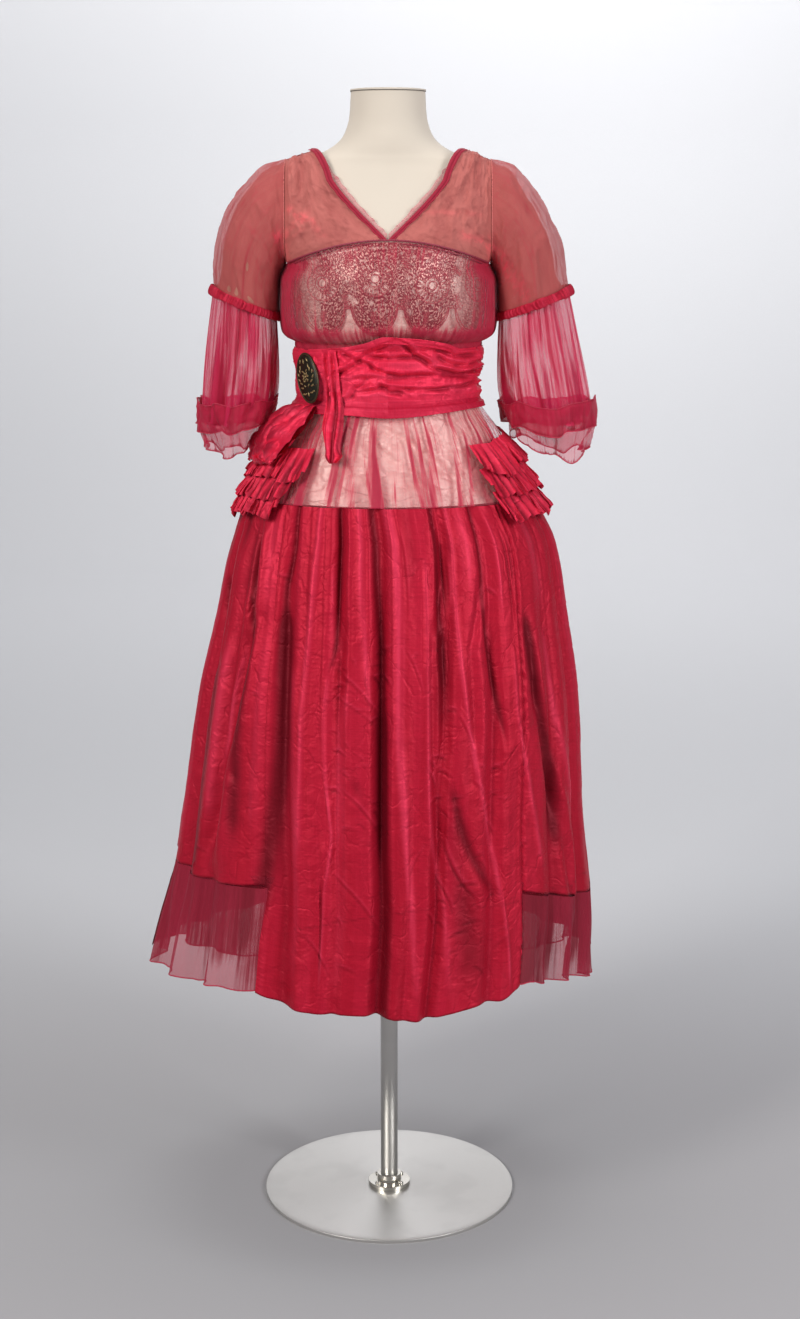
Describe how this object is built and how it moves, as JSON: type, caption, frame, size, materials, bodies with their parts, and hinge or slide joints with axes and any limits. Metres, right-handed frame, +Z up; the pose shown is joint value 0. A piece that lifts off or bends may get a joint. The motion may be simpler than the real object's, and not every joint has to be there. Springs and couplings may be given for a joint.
{
  "type": "chiffon dress on dress form stand",
  "caption": "Calf-length red chiffon and taffeta dress with V neck, full sleeves, folded sash and hip ruffles, on a limbless dress form with pole and round base.",
  "frame": {"origin": "centre of the base plate's underside, on the floor", "axes": "+Z up the pole, -Y the way the dress faces, +X towards the dress's own left side"},
  "size_m": [0.6694, 0.5423, 1.6372],
  "materials": {
    "chiffon": "sheer crimson silk chiffon",
    "lined_chiffon": "sheer crimson chiffon over tan net",
    "taffeta": "crisp crimson silk taffeta with a soft shine",
    "lining_silk": "pale cream-pink silk",
    "lace": "metallic lace",
    "form_cover": "smooth cream cotton jersey",
    "brushed_steel": "brushed stainless steel",
    "ornament_metal": "dark green-black with gold relief"
  },
  "bodies": {
    "root": {"base_flange": "brushed_steel", "base_plate": "brushed_steel", "bodice_back": "chiffon", "bodice_front": "chiffon", "bodice_lining": "lining_silk", "bust_piping": "chiffon", "chiffon_hem_left": "chiffon", "chiffon_hem_right": "chiffon", "chiffon_inner_left": "chiffon", "chiffon_inner_right": "chiffon", "cuff_band_left": "chiffon", "cuff_band_right": "chiffon", "cuff_frill_left": "chiffon", "cuff_frill_right": "chiffon", "dress_form": "form_cover", "flange_screw_1": "brushed_steel", "flange_screw_2": "brushed_steel", "flange_screw_3": "brushed_steel", "flange_screw_4": "brushed_steel", "hip_ruffle_left_1": "taffeta", "hip_ruffle_left_2": "taffeta", "hip_ruffle_left_3": "taffeta", "hip_ruffle_right_1": "taffeta", "hip_ruffle_right_2": "taffeta", "hip_ruffle_right_3": "taffeta", "lace_band": "lace", "lower_sleeve_left": "chiffon", "lower_sleeve_right": "chiffon", "neck_band_left": "chiffon", "neck_band_right": "chiffon", "neck_cap": "form_cover", "neck_frill_left": "chiffon", "neck_frill_right": "chiffon", "ornament_plate": "ornament_metal", "ornament_rim": "ornament_metal", "ruched_band_left": "taffeta", "ruched_band_right": "taffeta", "sash_knot": "taffeta", "sash_loop": "taffeta", "sash_lower_band": "taffeta", "sash_tail": "taffeta", "sash_wrap": "taffeta", "skirt_back": "taffeta", "skirt_front_panel": "taffeta", "skirt_lining": "lining_silk", "skirt_side_left": "taffeta", "skirt_side_right": "taffeta", "skirt_yoke": "chiffon", "stand_pole": "brushed_steel", "upper_sleeve_left": "lined_chiffon", "upper_sleeve_right": "lined_chiffon", "yoke_back": "lined_chiffon", "yoke_front_left": "lined_chiffon", "yoke_front_right": "lined_chiffon"}
  },
  "joints": []
}
